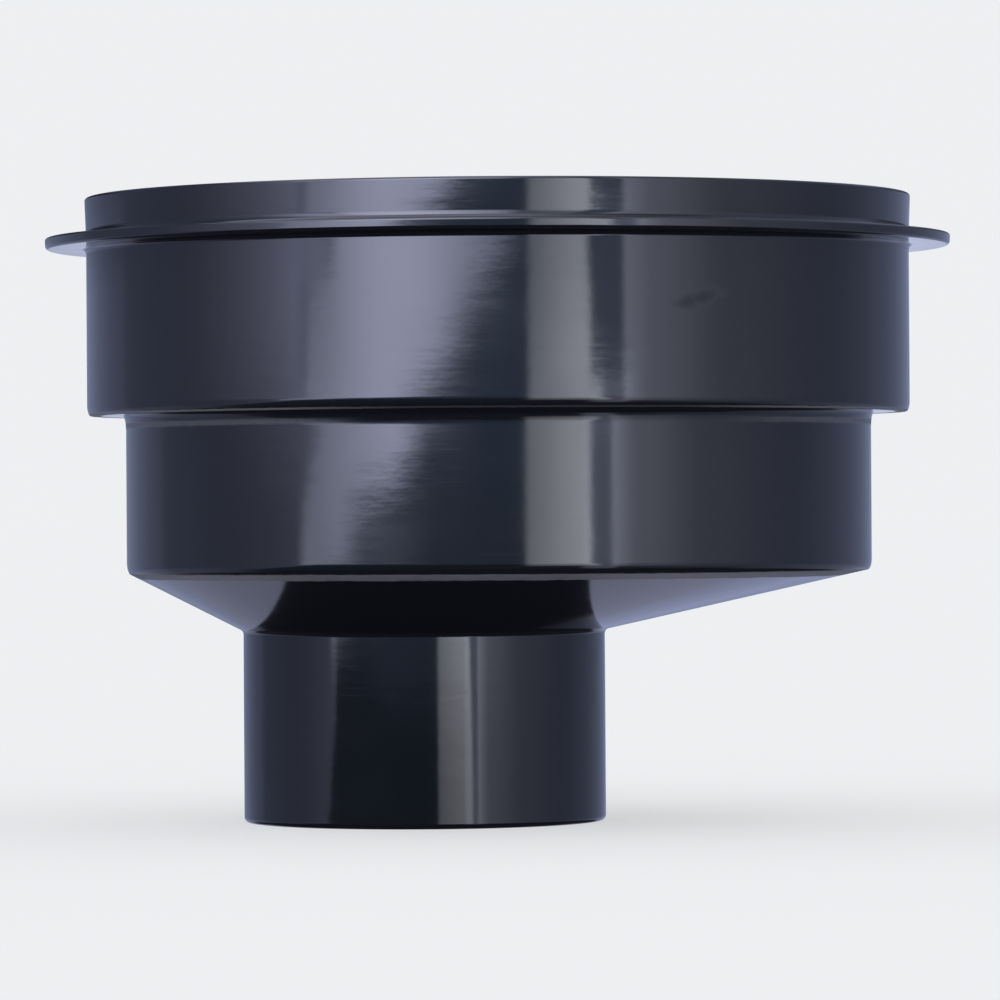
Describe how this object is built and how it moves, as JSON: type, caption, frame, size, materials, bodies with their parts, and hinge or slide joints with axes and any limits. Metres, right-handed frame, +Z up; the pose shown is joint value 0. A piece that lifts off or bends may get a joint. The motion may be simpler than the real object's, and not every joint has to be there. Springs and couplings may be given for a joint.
{
  "type": "rainwater gully",
  "caption": "Round black plastic rainwater gully body with a flanged collar, a stepped barrel and an eccentric cone that leads to an offset outlet spigot.",
  "frame": {"origin": "on the axis of the barrels and the flange, at the level of the spigot's foot", "axes": "+Z up through the inlet, -X towards the side where the outlet spigot stands"},
  "size_m": [0.275, 0.275, 0.1895],
  "materials": {
    "black_plastic": "moulded black plastic with a satin gloss, faint surface ripple and light handling scratches"
  },
  "bodies": {
    "root": {"gully_body": "black_plastic"}
  },
  "joints": []
}
